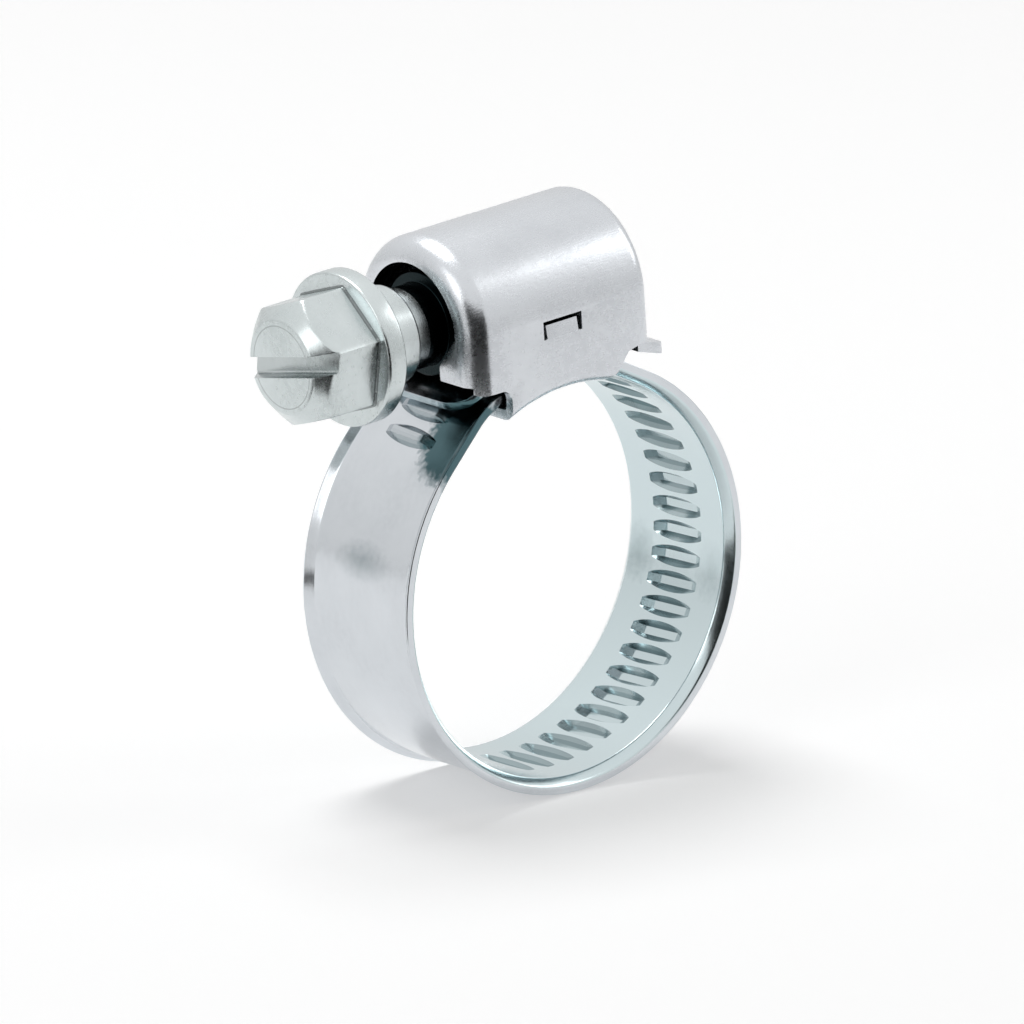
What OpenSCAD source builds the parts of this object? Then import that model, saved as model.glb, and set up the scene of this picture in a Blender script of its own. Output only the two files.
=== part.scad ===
// Worm drive hose clip, fully open.
// The origin is the centre of the hose bore. X runs along the screw, with its head at -X,
// Y is the axis of the hose, and Z points from the hose to the screw.

/* [Band] */
// Radius of the hose that the open clip fits round
bore_r = 11.5; // [11:0.1:13]
// Width of the band, from edge to edge
band_w = 9; // [8.6:0.1:9.1]
// Thickness of the band's sheet
band_t = 0.55; // [0.5:0.01:0.58]
// Width of the level strip between the two turned-out edges
flat_w = 7.5; // [6.8:0.1:7.8]
// Angle at which the edges are turned outward
edge_angle = 28; // [15:1:32]
// Pitch of the pressed ribs, measured along the middle of the sheet
pitch = 1.5; // [1.45:0.01:1.55]
// Height of a rib above the sheet
rib_h = 0.4; // [0.3:0.01:0.4]
// Width of a rib where it leaves the sheet
rib_w = 0.95; // [0.85:0.01:1]
// Length of a rib across the band, from point to point
rib_len = 3.8; // [3:0.1:4.4]
// Length of a rib's middle stretch, between its tapered ends
rib_mid = 1.8; // [1:0.1:2.4]
// Slant of the ribs against the axis of the hose
rib_slant = 2.5; // [0:0.5:4]
// Number of ribs from the tail round to the bottom of the ring
rib_count = 30; // [10:1:31]
// Distance from the tip of the tail to its first rib
tail_plain = 3.2; // [3:0.1:4]
// Number of ribs beside the housing on the fixed side
fixed_ribs = 2; // [0:1:2]
// Distance from the fixed end to its first rib
fixed_plain = 6.5; // [6.4:0.1:6.8]
// Distance between the ribs on the fixed side
fixed_pitch = 1.75; // [1.5:0.05:1.8]
// Width of the straight front of the rounded tail
tip_w = 4.6; // [3:0.2:6]

/* [Band route] */
// Angle from the top at which the band leaves the ring for the worm
rise_angle = 30; // [29:0.5:32]
// Bend radius where the risen band turns level under the worm
rise_r = 4; // [3:0.25:4.5]
// Where the level stretch under the worm ends, along the screw
level_end = -2; // [-2.4:0.1:-1.6]
// Bend radius of the tail towards its tip
tail_r = 10.7; // [10:0.1:12]
// Angle from the top at which the fixed end settles on the sleeve
hold_angle = 24; // [23:0.5:25]
// Bend radius where the fixed side steps up on to the sleeve
step_r = 4; // [3:0.25:5]
// Distance that the fixed end reaches past the middle, along the screw
fixed_end = 0; // [-0.4:0.1:0]

/* [Housing] */
// Thickness of the housing's sheet
sheet = 0.55; // [0.5:0.01:0.58]
// How far the middle of the domed roof lies below the screw's axis
hood_drop = 0.2; // [0:0.05:0.3]
// Front face of the housing, along the screw
house_front = -7; // [-7.3:0.1:-6.8]
// Rear face of the housing, along the screw
house_rear = 6.1; // [5.8:0.1:6.4]
// Outer radius of the bend into the front wall
front_bend = 1.4; // [1:0.1:1.8]
// Outer radius of the bend into the rear wall
rear_bend = 0.9; // [0.7:0.1:1.4]
// Radius of the upper half of the hole in the front wall
mouth_r = 3.7; // [3.5:0.05:3.8]
// Drop from the screw's axis to where the two ears come closest
ear_drop = 1.9; // [1.7:0.05:2]
// Height of the ears' lower edge above the centre of the bore
ear_foot = 13; // [12.9:0.05:13.2]
// Width of the gap between the ears
ear_gap = 4.4; // [4:0.1:4.8]
// Front edge of the sleeve under the band
sleeve_front = -4.4; // [-4.7:0.1:-4.2]
// Rear edge of the sleeve under the band
sleeve_rear = 2.5; // [2:0.1:2.6]
// Height of the side wall's lower edge in front of the sleeve
wall_foot = 12.5; // [12.3:0.05:12.8]
// Height of the side wall's lower edge at the rear
rear_foot = 12.9; // [12.8:0.05:13]
// Length of the guide lip behind the rear wall
lip_len = 1.5; // [1:0.1:1.8]
// Angle at which the guide lip droops
lip_droop = 16; // [10:1:18]
// Length of the lanced tab in the side wall
tab_len = 2.8; // [2:0.1:3]
// Height of the lanced tab
tab_h = 1.05; // [0.8:0.05:1.2]
// Middle of the lanced tab, along the screw
tab_x = -0.45; // [-1:0.05:-0.2]
// Width of the slit round the lanced tab
slit = 0.17; // [0.12:0.01:0.22]

/* [Screw] */
// Height of the screw's axis above the centre of the bore
screw_z = 15.75; // [15.7:0.01:15.85]
// Width of the hexagon across its flats
hex_af = 6.8; // [6.5:0.1:7.2]
// Front face of the head, along the screw
head_front = -16.5; // [-16.8:0.1:-16]
// Front face of the round flange, along the screw
flange_front = -12.4; // [-12.8:0.1:-12.2]
// Thickness of the round flange
flange_t = 1.3; // [0.9:0.1:1.4]
// Radius of the round flange
flange_r = 4.45; // [4.2:0.05:4.6]
// Radius of the shank behind the flange
shank_r = 2.85; // [2.8:0.05:3]
// Where the shank steps down to the neck, along the screw
shank_end = -8.7; // [-9:0.1:-8.4]
// Radius of the neck that turns in the cradle
neck_r = 2.4; // [2.3:0.05:2.5]
// Radius of the thrust collar behind the front wall
collar_r = 3; // [2.9:0.05:3]
// Thickness of the thrust collar
collar_t = 0.9; // [0.7:0.1:0.9]
// Width of the slot in the head
slot_w = 1.2; // [1:0.1:1.4]
// Depth of the slot in the head
slot_depth = 1.2; // [1:0.1:1.6]
// Angle of the slot from the level, as the screw stands
slot_turn = 11.5; // [0:0.5:60]
// Angle of a hexagon corner from the level, as the screw stands
hex_turn = 18.5; // [0:0.5:60]
// Rear end of the worm, along the screw
worm_rear = 4.5; // [4:0.1:4.7]
// Radius of the journal that the rear wall bears
journal_r = 1.6; // [1.4:0.1:1.8]

/* [Clearances] */
// Gap on each side of the band inside the housing
side_gap = 0.2; // [0.15:0.05:0.3]
// Gap between sheets that lie on each other
lay_gap = 0.02; // [0.01:0.01:0.03]
// How far the sleeve stands inside the bore
sleeve_in = 0.08; // [0.05:0.01:0.09]
// Gap between the worm and the toothed tail
mesh_gap = 0.03; // [0.02:0.01:0.05]
// Radial clearance of the journal in the rear wall
journal_gap = 0.06; // [0.03:0.01:0.1]
// Gap on each side of the front wall and before the rear wall
end_gap = 0.1; // [0.06:0.01:0.15]

/* [Hidden] */
$fn = 96;

// How far a cutting piece stands out past what it cuts, and how far past one sheet it ends
cut = 1;
over = 0.2;

// Hidden joins: a step between faces too small to see, and a short way into a neighbour
hair = 0.002;
join = 0.05;
sunk = 0.1;

// Steps of a quarter round, of half a rib's back, and of the worm round and along one turn
round_steps = 8;
back_steps = 3;
worm_sides = 18;
worm_slices = 16;

// The ring, and the sleeve and fixed end that lie on each other at its top
ring_r = bore_r + band_t / 2;
sleeve_r = bore_r - sleeve_in;
hold_r = sleeve_r + sheet + lay_gap + band_t / 2;
step_angle = acos((ring_r - step_r) / (hold_r - step_r));
step_len = (hold_r - step_r) * sin(step_angle);
fixed_turn = asin(fixed_end / hold_r);

// The level stretch of the tail, and the straight rise that leads up to it
level_z = hold_r + band_t + lay_gap;
rise_drop = rise_r * (1 - cos(rise_angle));
rise_len = (level_z - ring_r * cos(rise_angle) - rise_drop) / sin(rise_angle);
level_start = ring_r * sin(rise_angle) - rise_len * cos(rise_angle) - rise_r * sin(rise_angle);
tail_turn = asin((level_end - house_front) / tail_r);
ring_turn = 360 - hold_angle - step_angle - rise_angle;

// The route of the middle of the sheet, from the fixed end to the tip of the tail.
// Each stretch is a bend radius with its angle, or a radius of 0 with a straight length.
ROUTE = [
    [hold_r, hold_angle + fixed_turn],
    [step_r, step_angle],
    [0, step_len],
    [ring_r, ring_turn],
    [0, rise_len],
    [rise_r, rise_angle],
    [0, level_start - level_end],
    [tail_r, tail_turn]
];
TAIL = len(ROUTE) - 1;
ROUTE_START = [hold_r * sin(fixed_turn), hold_r * cos(fixed_turn), -fixed_turn];

// Half width, slope and middle of the band's section
half_w = band_w / 2;
half_flat = flat_w / 2;
inner_flat = half_flat + band_t * tan(edge_angle / 2);
edge_rise = (half_w - half_flat) * tan(edge_angle);
inner_rise = (half_w - inner_flat) * tan(edge_angle);

// Rib section: a round of this radius, sunk so that its top stands rib_h high
rib_r = (pow(rib_w / 2, 2) + pow(rib_h, 2)) / (2 * rib_h);
rib_sink = rib_r - rib_h;
rib_spread = asin(rib_w / 2 / rib_r);

// Worm radii, the plain relief before the thread, and the place of a thread crest, midway
// between two ribs of the tail
level_top = level_z + band_t / 2;
crest_r = screw_z - level_top - mesh_gap;
root_r = crest_r - rib_h;
relief = 0.5;
worm_front = house_front + sheet + end_gap + collar_t + relief;
worm_len = worm_rear - worm_front;
tail_rib = frame_at(route_length() - tail_plain - pitch * 2)[0];
crest_phase = 360 * (worm_front - tail_rib - pitch / 2) / pitch;

// Housing width, levels, bends and rounds
inner_half = band_w / 2 + side_gap;
house_w = 2 * (inner_half + sheet);
hood_z = screw_z - hood_drop;
sleeve_bend = 0.8;
sleeve_top = wall_foot + 0.8;
sleeve_turn = 26;
foot_bend = 0.7;
lip_round = 0.6;

// Edge of the sheet from the sleeve up to the side wall, back and up from the sleeve's
// rear edge at the level of rear_foot, and the small rise at the wall's rear corner
REAR_SWEEP = [[0, -1.9], [0.8, -1.5], [1.3, -0.9], [1.75, -0.35]];
REAR_RISE = [[-0.4, -0.05], [0, 0.3], [cut, 0.3]];

// Mouth in the front wall: how far it keeps its width below the axis, and its step in there
brow_drop = 0.12;
brow_step = 0.1;

// Guide lip: how far it starts below the rear wall's foot, and how far it runs up the wall
lip_drop = 0.42;
lip_root = 0.5;

// Lanced tab: its foot and the angle at which it is pressed in
tab_foot = screw_z - tab_h;
tab_press = 9;

// The pressed nib that locks the fixed end, and its place round the bore
lock_r = 0.8;
lock_turn = hold_angle / 2 - 1;

// Small edges of the screw, the end face of its head, and the plain turned radii
ease = 0.2;
face_r = 2.7;
chamfer_rise = 0.95;
core_r = root_r - sunk;
shoulder_r = 2;

// Half angles of the thread's crest and of its foot, within one turn
crest_half = 30;
root_from = 110;

// Length of one stretch of the route
function stretch(s) = s[0] == 0 ? s[1] : s[0] * s[1] * PI / 180;

// Length of the route up to the start of stretch n
function route_length(n = len(ROUTE)) = n == 0 ? 0 : route_length(n - 1) + stretch(ROUTE[n - 1]);

// Place and heading [x, z, turn] after going a distance d along one stretch
function go(f, s, d) =
    s[0] == 0
        ? [f[0] - d * cos(f[2]), f[1] - d * sin(f[2]), f[2]]
        : let(
            turn = f[2] + d / s[0] * 180 / PI,
            cx = f[0] + s[0] * sin(f[2]),
            cz = f[1] - s[0] * cos(f[2])
        ) [cx - s[0] * sin(turn), cz + s[0] * cos(turn), turn];

// Place and heading at the start of stretch n
function start_of(n) =
    n == 0 ? ROUTE_START : go(start_of(n - 1), ROUTE[n - 1], stretch(ROUTE[n - 1]));

// Number of the stretch that holds the distance d from the fixed end
function stretch_at(d, n = 0) =
    n == TAIL || d < route_length(n + 1) ? n : stretch_at(d, n + 1);

// Place and heading at the distance d from the fixed end
function frame_at(d) =
    let(n = stretch_at(d)) go(start_of(n), ROUTE[n], d - route_length(n));

// Puts a piece at a place and heading of the route
module at(f) {
    translate([f[0], 0, f[1]])
        rotate([0, -f[2], 0])
            children();
}

// Section of the band: X is outward, Y is across the band. Every face stands in by inset.
module band_section(inset) {
    half = half_w - inset;
    inner = -band_t / 2 + inset;
    outer = band_t / 2 - inset;
    polygon([
        [inner, inner_flat],
        [inner + inner_rise, half],
        [outer + edge_rise, half],
        [outer, half_flat],
        [outer, -half_flat],
        [outer + edge_rise, -half],
        [inner + inner_rise, -half],
        [inner, -inner_flat]
    ]);
}

// One stretch of the band, bent or straight. Every other stretch runs a little way into
// its neighbours, a hair inside their faces, so that the joins are clean.
module band_stretch(n) {
    radius = ROUTE[n][0];
    tucked = n % 2 == 0;
    inset = tucked ? hair : 0;
    extra = tucked ? join : 0;
    at(start_of(n))
        if (radius == 0)
            translate([extra, 0, 0])
                rotate([0, -90, 0])
                    linear_extrude(ROUTE[n][1] + 2 * extra)
                        band_section(inset);
        else
            translate([0, 0, -radius])
                rotate([90, 0, 0])
                    rotate([0, 0, 90])
                        rotate_extrude(angle = ROUTE[n][1] + extra / radius * 180 / PI)
                            translate([radius, 0])
                                band_section(inset);
}

// What is cut off one corner of the tail's tip, seen from above
module tip_corner() {
    round_r = half_w - tip_w / 2;
    translate([house_front, tip_w / 2, 0])
        linear_extrude(screw_z)
            difference() {
                translate([-cut, 0])
                    square([round_r + cut, round_r + cut]);
                translate([round_r, 0])
                    circle(round_r);
            }
}

// The tail with its rounded tip
module tail() {
    difference() {
        band_stretch(TAIL);
        tip_corner();
        mirror([0, 1, 0])
            tip_corner();
    }
}

// Rounded back of a rib, as [across, up] points of its section at full height
function rib_back() =
    [for (a = [-rib_spread:rib_spread / back_steps:rib_spread]) rib_r * [sin(a), cos(a)]];

// A bar with a rounded back and pointed ends: its back leaves the sheet at height rib_sink
module rib_bar() {
    back = concat([[-rib_w / 2, -sunk]], rib_back(), [[rib_w / 2, -sunk]]);
    n = len(back);
    points = concat(
        [for (p = back) [p[0], -rib_mid / 2, p[1]]],
        [for (p = back) [p[0], rib_mid / 2, p[1]]],
        [[0, -rib_len / 2, rib_sink], [0, -rib_len / 2, -sunk]],
        [[0, rib_len / 2, rib_sink], [0, rib_len / 2, -sunk]]
    );
    sides = [for (i = [0:1:n - 1]) [n + i, n + (i + 1) % n, (i + 1) % n, i]];
    front = [for (i = [0:1:n - 2]) [i, i + 1, 2 * n]];
    rear = [for (i = [0:1:n - 2]) [n + i + 1, n + i, 2 * n + 2]];
    ends = [
        [0, 2 * n, 2 * n + 1],
        [n - 1, 2 * n + 1, 2 * n],
        [0, 2 * n + 1, n - 1],
        [n, 2 * n + 3, 2 * n + 2],
        [2 * n - 1, 2 * n + 2, 2 * n + 3],
        [n, 2 * n - 1, 2 * n + 3]
    ];
    polyhedron(points, concat(sides, front, rear, ends));
}

// Every rib, from the level of the given face of the sheet outward
module ribs(face) {
    last = route_length() - tail_plain;
    tail_places = [for (i = [0:1:rib_count - 1]) last - i * pitch];
    fixed_places = [for (i = [0:1:fixed_ribs - 1]) fixed_plain + i * fixed_pitch];
    for (d = concat(tail_places, fixed_places))
        at(frame_at(d))
            translate([0, 0, face - rib_sink])
                rotate([0, 0, -rib_slant])
                    rib_bar();
}

module band() {
    color([0.80, 0.82, 0.84])
        difference() {
            union() {
                for (n = [0:1:TAIL - 1])
                    band_stretch(n);
                tail();
                ribs(band_t / 2);
            }
            ribs(-band_t / 2);
            lock(lock_r + lay_gap, sleeve_r, level_z - sleeve_r - band_t / 2);
        }
}

// Draws a piece and its mirror image on the other side of the screw
module both_sides() {
    children();
    mirror([0, 1, 0])
        children();
}

// Plan of the hood from the screw's axis outward: X is the distance from the axis,
// Y runs along the screw
module hood_plan(inset) {
    reach = house_w / 2 - inset;
    front = house_front + inset;
    rear = house_rear - inset;
    bend_f = front_bend - inset;
    bend_r = rear_bend - inset;
    translate([0, front])
        square([reach - bend_f, rear - front]);
    translate([0, front + bend_f])
        square([reach, rear - front - bend_f - bend_r]);
    translate([0, front + bend_f])
        square([reach - bend_r, rear - front - bend_f]);
    translate([reach - bend_f, front + bend_f])
        circle(bend_f);
    translate([reach - bend_r, rear - bend_r])
        circle(bend_r);
}

// Solid hood: half round over the screw, with straight sides down to the given level
module hood(inset, foot) {
    translate([0, 0, hood_z])
        rotate([90, 0, 90])
            rotate_extrude(angle = 180)
                hood_plan(inset);
    translate([0, 0, foot])
        linear_extrude(hood_z - foot)
            both_sides()
                rotate([0, 0, -90])
                    hood_plan(inset);
}

// Quarter round of points about a centre, from one heading to another
function round_points(centre, radius, from, to) =
    [
        for (i = [0:1:round_steps])
            let(a = from + (to - from) * i / round_steps) centre + radius * [cos(a), sin(a)]
    ];

// Section of the sleeve, a flat-bottomed U: X is outward from the bore, Y across the band.
// Its sides run up inside the side walls, a hair within their faces.
module sleeve_section() {
    half = house_w / 2 - hair;
    inner = house_w / 2 - sheet + hair;
    bend_x = sleeve_r + sleeve_bend;
    bend_y = half - sleeve_bend;
    polygon(concat(
        [[sleeve_top, -half]],
        round_points([bend_x, -bend_y], sleeve_bend, -90, -180),
        round_points([bend_x, bend_y], sleeve_bend, 180, 90),
        [[sleeve_top, half], [sleeve_top, inner]],
        round_points([bend_x, bend_y], inner - bend_y, 90, 180),
        round_points([bend_x, -bend_y], inner - bend_y, 180, 270),
        [[sleeve_top, -inner]]
    ));
}

// The sleeve, bent to the bore, a little longer than it is left at both ends
module sleeve() {
    rotate([90, 0, 0])
        rotate([0, 0, 90 - sleeve_turn])
            rotate_extrude(angle = 2 * sleeve_turn)
                sleeve_section();
}

// The small area between a sharp corner and the round that eases it
module corner_fill(corner, radius, side) {
    translate(corner)
        difference() {
            translate([side[0] > 0 ? -cut : -radius, side[1] > 0 ? -cut : -radius])
                square(radius + cut);
            translate(side * radius)
                circle(radius);
        }
}

// Side view of the sheet that is left, X along the screw and Y upward
module side_view() {
    polygon(concat(
        [[house_front - cut, screw_z + house_w]],
        [[house_front - cut, wall_foot + foot_bend]],
        round_points([house_front + foot_bend, wall_foot + foot_bend], foot_bend, 180, 270),
        round_points([sleeve_front - foot_bend, wall_foot - foot_bend], foot_bend, 90, 0),
        [[sleeve_front, 0]],
        [[sleeve_rear, 0]],
        [for (p = REAR_SWEEP) [sleeve_rear, rear_foot] + p],
        [for (p = REAR_RISE) [house_rear, rear_foot] + p],
        [[house_rear + cut, screw_z + house_w]]
    ));
}

// Front view of the opening in the front wall, X across the band and Y upward. Below the
// axis the wall leaves two ears that slant in under the neck and stop above the tail.
module mouth() {
    brow = screw_z - brow_drop;
    half = ear_gap / 2;
    intersection() {
        translate([0, screw_z])
            circle(mouth_r);
        translate([-mouth_r, brow - join])
            square(2 * mouth_r);
    }
    polygon([
        [brow_step - mouth_r, brow],
        [-half, screw_z - ear_drop],
        [-half, ear_foot],
        [-inner_half, ear_foot],
        [-inner_half, ear_foot - 2 * cut],
        [inner_half, ear_foot - 2 * cut],
        [inner_half, ear_foot],
        [half, ear_foot],
        [half, screw_z - ear_drop],
        [mouth_r - brow_step, brow]
    ]);
}

// A drawing in the Y-Z plane given depth along the screw
module along_screw(front, length) {
    translate([front, 0, 0])
        rotate([90, 0, 90])
            linear_extrude(length)
                children();
}

// A drawing in the X-Z plane given depth across the band, centred
module across_band(width) {
    rotate([90, 0, 0])
        linear_extrude(width, center = true)
            children();
}

// The lip that guides the tail in behind the rear wall, bent out from that wall
module guide_lip() {
    drop = tan(lip_droop);
    inner = house_rear - sheet;
    tip = house_rear + lip_len;
    top = rear_foot - lip_drop;
    thick = sheet / cos(lip_droop) + join;
    intersection() {
        across_band(band_w)
            polygon([
                [inner, rear_foot + lip_root],
                [house_rear, rear_foot + lip_root],
                [house_rear, top],
                [tip, top - lip_len * drop],
                [tip - thick * drop, top - lip_len * drop - thick],
                [inner, top - thick + sheet * drop]
            ]);
        linear_extrude(screw_z)
            difference() {
                translate([inner - cut, -band_w / 2])
                    square([tip - inner + cut, band_w]);
                both_sides()
                    corner_fill([tip, band_w / 2], lip_round, [-1, -1]);
            }
    }
}

// What is cut off the sleeve's floor behind its rear edge, where only the side walls go on
module sleeve_end() {
    translate([sleeve_rear, -inner_half, 0])
        cube([house_rear - sleeve_rear, 2 * inner_half, wall_foot]);
}

// Window in a side wall, round the lanced tab
module tab_window() {
    translate([tab_x - tab_len / 2, inner_half - cut, tab_foot])
        cube([tab_len, sheet + 2 * cut, tab_h]);
}

// Lanced tab, left on the wall at its foot and pressed inward at its top
module lanced_tab() {
    translate([tab_x - tab_len / 2 + slit, inner_half + sheet, tab_foot - sunk])
        rotate([tab_press, 0, 0])
            translate([0, -sheet, 0])
                cube([tab_len - 2 * slit, sheet, tab_h + sunk - slit]);
}

// Pressed nib that locks the fixed end, or the hole it fills, outward from the bore
module lock(radius, from, height) {
    rotate([0, -lock_turn, 0])
        translate([0, 0, from])
            cylinder(r = radius, h = height);
}

module housing() {
    color([0.78, 0.79, 0.82])
        union() {
            difference() {
                intersection() {
                    union() {
                        difference() {
                            hood(0, wall_foot - over);
                            hood(sheet, wall_foot - cut);
                        }
                        sleeve();
                    }
                    across_band(2 * house_w)
                        side_view();
                }
                along_screw(house_front - cut, sheet + cut + over)
                    mouth();
                along_screw(house_rear - sheet - over, sheet + cut)
                    translate([0, screw_z])
                        circle(journal_r + journal_gap);
                both_sides()
                    tab_window();
                sleeve_end();
            }
            guide_lip();
            both_sides()
                lanced_tab();
            lock(lock_r, sleeve_r + sheet - sunk, sunk + lay_gap + band_t);
        }
}

// Outline of the turned parts: X is the distance from the axis, Y runs along the screw
module turned_outline() {
    flange_back = flange_front + flange_t;
    collar_front = house_front + sheet + end_gap;
    shoulder = house_rear - sheet - end_gap;
    polygon([
        [0, flange_front],
        [flange_r - ease, flange_front],
        [flange_r, flange_front + ease],
        [flange_r, flange_back - ease],
        [flange_r - ease, flange_back],
        [shank_r, flange_back],
        [shank_r, shank_end - ease],
        [shank_r - ease, shank_end],
        [neck_r, shank_end],
        [neck_r, collar_front],
        [collar_r - ease / 2, collar_front],
        [collar_r, collar_front + ease / 2],
        [collar_r, collar_front + collar_t],
        [core_r, collar_front + collar_t],
        [core_r, worm_rear],
        [shoulder_r, worm_rear],
        [shoulder_r, shoulder],
        [journal_r, shoulder],
        [journal_r, house_rear],
        [journal_r - ease, house_rear + ease],
        [0, house_rear + ease]
    ]);
}

// Outline that chamfers the hexagon's outer end
module head_outline() {
    corner_r = hex_af / sqrt(3) + sunk;
    polygon([
        [0, head_front],
        [face_r, head_front],
        [corner_r, head_front + (corner_r - face_r) * chamfer_rise],
        [corner_r, flange_front + sunk],
        [0, flange_front + sunk]
    ]);
}

// Radius of the worm's section at an angle from the middle of the thread's crest
function thread_r(a) =
    abs(a) < crest_half ? crest_r
        : abs(a) > root_from ? root_r
        : crest_r - (crest_r - root_r) * (abs(a) - crest_half) / (root_from - crest_half);

// Right-hand worm thread, as one section turned along the screw
module worm() {
    translate([0, 0, worm_front])
        linear_extrude(
            worm_len,
            twist = -360 * worm_len / pitch,
            slices = round(worm_slices * worm_len / pitch),
            segments = worm_sides
        )
            rotate(crest_phase)
                polygon([
                    for (i = [0:1:worm_sides - 1])
                        let(a = -180 + 360 * i / worm_sides) thread_r(a) * [cos(a), sin(a)]
                ]);
}

module screw() {
    color([0.74, 0.79, 0.78])
        translate([0, 0, screw_z])
            rotate([0, 90, 0]) {
                rotate_extrude()
                    turned_outline();
                difference() {
                    intersection() {
                        translate([0, 0, head_front])
                            rotate([0, 0, 90 - hex_turn])
                                cylinder(
                                    d = hex_af / cos(30),
                                    h = flange_front + sunk - head_front,
                                    $fn = 6
                                );
                        rotate_extrude()
                            head_outline();
                    }
                    rotate([0, 0, 90 - slot_turn])
                        translate([-hex_af, -slot_w / 2, head_front - cut])
                            cube([2 * hex_af, slot_w, slot_depth + cut]);
                }
                worm();
            }
}

band();
housing();
screw();
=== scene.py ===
# %% [markdown]
# # A worm drive hose clip in bright zinc plate
# The clip has three pieces. A toothed band goes round the hose, a folded housing holds both
# ends of the band together, and a screw with a worm thread turns in the housing. We load the
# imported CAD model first, because it fixes where everything sits. Then we build a finer piece
# in place of each CAD piece: the CAD gives true sizes, and Blender adds worn edges and metal.

# %% Load the frame
import math

import bmesh
import bpy
import numpy as np
from mathutils import Matrix, Vector


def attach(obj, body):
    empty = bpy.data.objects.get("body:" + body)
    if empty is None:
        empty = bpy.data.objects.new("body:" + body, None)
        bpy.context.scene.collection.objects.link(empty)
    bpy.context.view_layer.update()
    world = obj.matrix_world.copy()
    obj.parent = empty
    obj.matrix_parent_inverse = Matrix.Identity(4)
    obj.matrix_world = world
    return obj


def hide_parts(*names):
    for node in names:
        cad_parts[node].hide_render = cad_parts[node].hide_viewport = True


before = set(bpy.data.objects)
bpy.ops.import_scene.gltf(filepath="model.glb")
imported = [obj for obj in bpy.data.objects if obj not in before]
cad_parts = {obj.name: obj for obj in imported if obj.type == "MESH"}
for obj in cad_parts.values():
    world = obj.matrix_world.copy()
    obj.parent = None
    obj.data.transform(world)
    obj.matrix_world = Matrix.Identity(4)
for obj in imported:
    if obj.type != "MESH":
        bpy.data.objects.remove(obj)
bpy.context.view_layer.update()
print("CAD nodes:", sorted(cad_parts))

# %% [markdown]
# Blender works in metres and a clip maker thinks in millimetres, so every size of the clip is
# written in millimetres and multiplied by one constant. Only the places of the camera and the
# lamps and the width of the floor are in metres. Short helpers make objects, give them a
# material, keep what their modifiers make as a plain mesh, and aim the camera and the lamps.

# %% Units and helpers
MM = 0.001


def mesh_object(name, points_mm, faces):
    """A new object in the scene, from points in millimetres and faces as index tuples."""
    mesh = bpy.data.meshes.new(name)
    mesh.from_pydata((np.asarray(points_mm, float) * MM).tolist(), [], faces)
    mesh.validate()
    made = bpy.data.objects.new(name, mesh)
    bpy.context.scene.collection.objects.link(made)
    return made


def dress(thing, material):
    """Gives an object one material."""
    thing.data.materials.clear()
    thing.data.materials.append(material)


def modified_mesh(thing):
    """A new plain mesh of what an object's modifiers make."""
    bpy.context.view_layer.update()
    ready = thing.evaluated_get(bpy.context.evaluated_depsgraph_get())
    return bpy.data.meshes.new_from_object(ready)


def look_at(thing, target, up=Vector((0, 0, 1))):
    """Turns a camera or lamp so that its -Z axis points at the target."""
    back = (thing.location - Vector(target)).normalized()
    right = up.cross(back).normalized()
    thing.matrix_world = Matrix((
        (right.x, back.cross(right).x, back.x, thing.location.x),
        (right.y, back.cross(right).y, back.y, thing.location.y),
        (right.z, back.cross(right).z, back.z, thing.location.z),
        (0, 0, 0, 1),
    ))


# %% [markdown]
# The photograph is a product shot from far away, so its perspective is almost flat. A long
# lens one metre off gives the same look. The clip leans a little as it stands on its ring,
# and we lean the floor and the camera instead, so that the CAD axes stay straight.

# %% Camera
AZIMUTH, ELEVATION, LEAN = (math.radians(a) for a in (-40.59, 15.5, 4.34))
CAMERA_DISTANCE = 1.0
LENS = 625.3
NEAREST, FARTHEST = 0.01, 10
AIM_RIGHT, AIM_UP = -0.000634, 0.002871
up_there = Vector((math.sin(LEAN), 0, math.cos(LEAN)))


def leaned(x, y, z):
    """A direction given in the room, turned into the clip's own frame."""
    return Vector(
        (x * math.cos(LEAN) + z * math.sin(LEAN), y, z * math.cos(LEAN) - x * math.sin(LEAN))
    )


camera_back = leaned(
    math.sin(AZIMUTH) * math.cos(ELEVATION),
    -math.cos(AZIMUTH) * math.cos(ELEVATION),
    math.sin(ELEVATION),
)
camera_right = up_there.cross(camera_back).normalized()
camera_up = camera_back.cross(camera_right)
lens = bpy.data.cameras.new("photo_camera")
lens.lens = LENS
lens.clip_start, lens.clip_end = NEAREST, FARTHEST
camera = bpy.data.objects.new("photo_camera", lens)
bpy.context.scene.collection.objects.link(camera)
aim = camera_right * AIM_RIGHT + camera_up * AIM_UP
camera.location = camera_back * CAMERA_DISTANCE + aim
look_at(camera, aim, up_there)
bpy.context.scene.camera = camera
bpy.context.scene.view_settings.view_transform = "Standard"
print("camera at", [round(v, 4) for v in camera.location])

# %% [markdown]
# A product shot like this stands on a white sweep under large soft lamps. The floor carries
# the soft shadow, so it is a real white surface, with a little glow for the camera and for
# reflections that lifts it to the white of the photograph. Far away, where the lamps no longer
# reach, the glow is stronger. It lights nothing, so the clip's own light stays plain.

# %% Floor
FLOOR_Z = -12.45
FLOOR_SIZE = 3.0
NEAR_GLOW, FAR_GLOW, GLOW_FADE = 0.36, 0.58, (0.3, 1.2)
FLOOR_WHITE = (0.80, 0.80, 0.80, 1)


def node_material(name):
    """A new material with its node tree empty but for the output."""
    material = bpy.data.materials.new(name)
    material.use_nodes = True
    tree = material.node_tree
    tree.nodes.clear()
    out = tree.nodes.new("ShaderNodeOutputMaterial")
    return material, tree, out


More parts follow.
